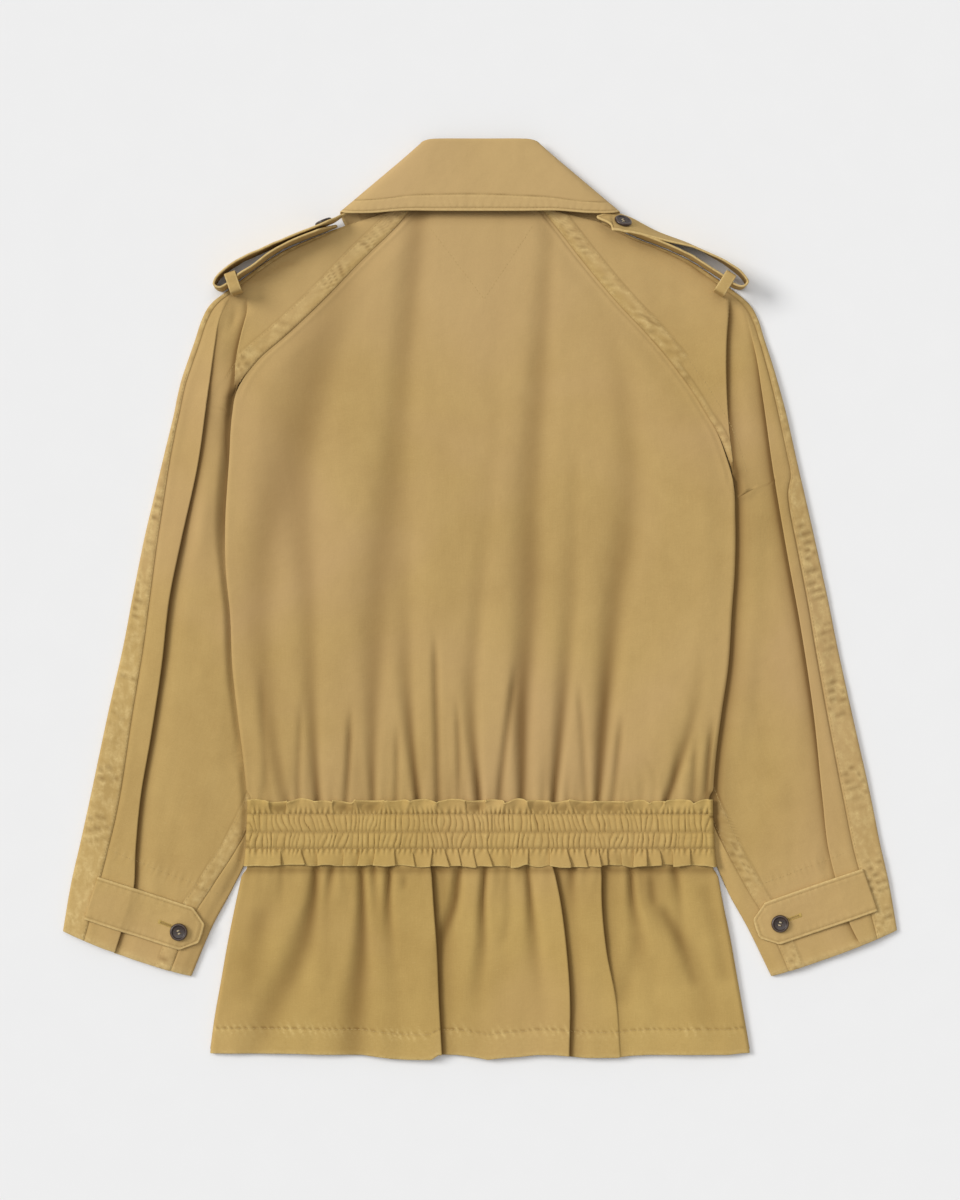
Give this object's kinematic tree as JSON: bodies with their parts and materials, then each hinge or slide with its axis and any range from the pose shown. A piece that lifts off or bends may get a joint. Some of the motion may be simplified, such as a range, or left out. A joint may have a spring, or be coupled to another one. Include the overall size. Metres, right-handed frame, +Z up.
{
  "type": "trench coat",
  "caption": "Short trench coat laid flat, back up: raglan sleeves, folded collar, shoulder straps, gathered elastic waist, flared peplum and buttoned cuff tabs.",
  "frame": {"origin": "middle of the footprint, on the surface the coat lies on", "axes": "+Z up from the surface, +Y from hem to collar, +X towards the wearer's right; the back faces up"},
  "size_m": [0.7106, 0.7819, 0.0287],
  "materials": {
    "cotton_twill": "matte",
    "button_brown": "satin"
  },
  "bodies": {
    "root": {"back_panel": "cotton_twill", "front_panel_left": "cotton_twill", "front_panel_right": "cotton_twill", "sleeve_back_left": "cotton_twill", "sleeve_back_right": "cotton_twill", "sleeve_front_left": "cotton_twill", "sleeve_front_right": "cotton_twill", "waist_casing_back": "cotton_twill", "waist_casing_front_left": "cotton_twill", "waist_casing_front_right": "cotton_twill", "peplum_back": "cotton_twill", "peplum_front_left": "cotton_twill", "peplum_front_right": "cotton_twill", "collar_fall": "cotton_twill", "collar_stand": "cotton_twill", "epaulette_left": "cotton_twill", "epaulette_right": "cotton_twill", "epaulette_keeper_left": "cotton_twill", "epaulette_keeper_right": "cotton_twill", "cuff_tab_left": "cotton_twill", "cuff_tab_right": "cotton_twill", "epaulette_button_left": "button_brown", "epaulette_button_right": "button_brown", "cuff_button_left": "button_brown", "cuff_button_right": "button_brown"}
  },
  "joints": []
}
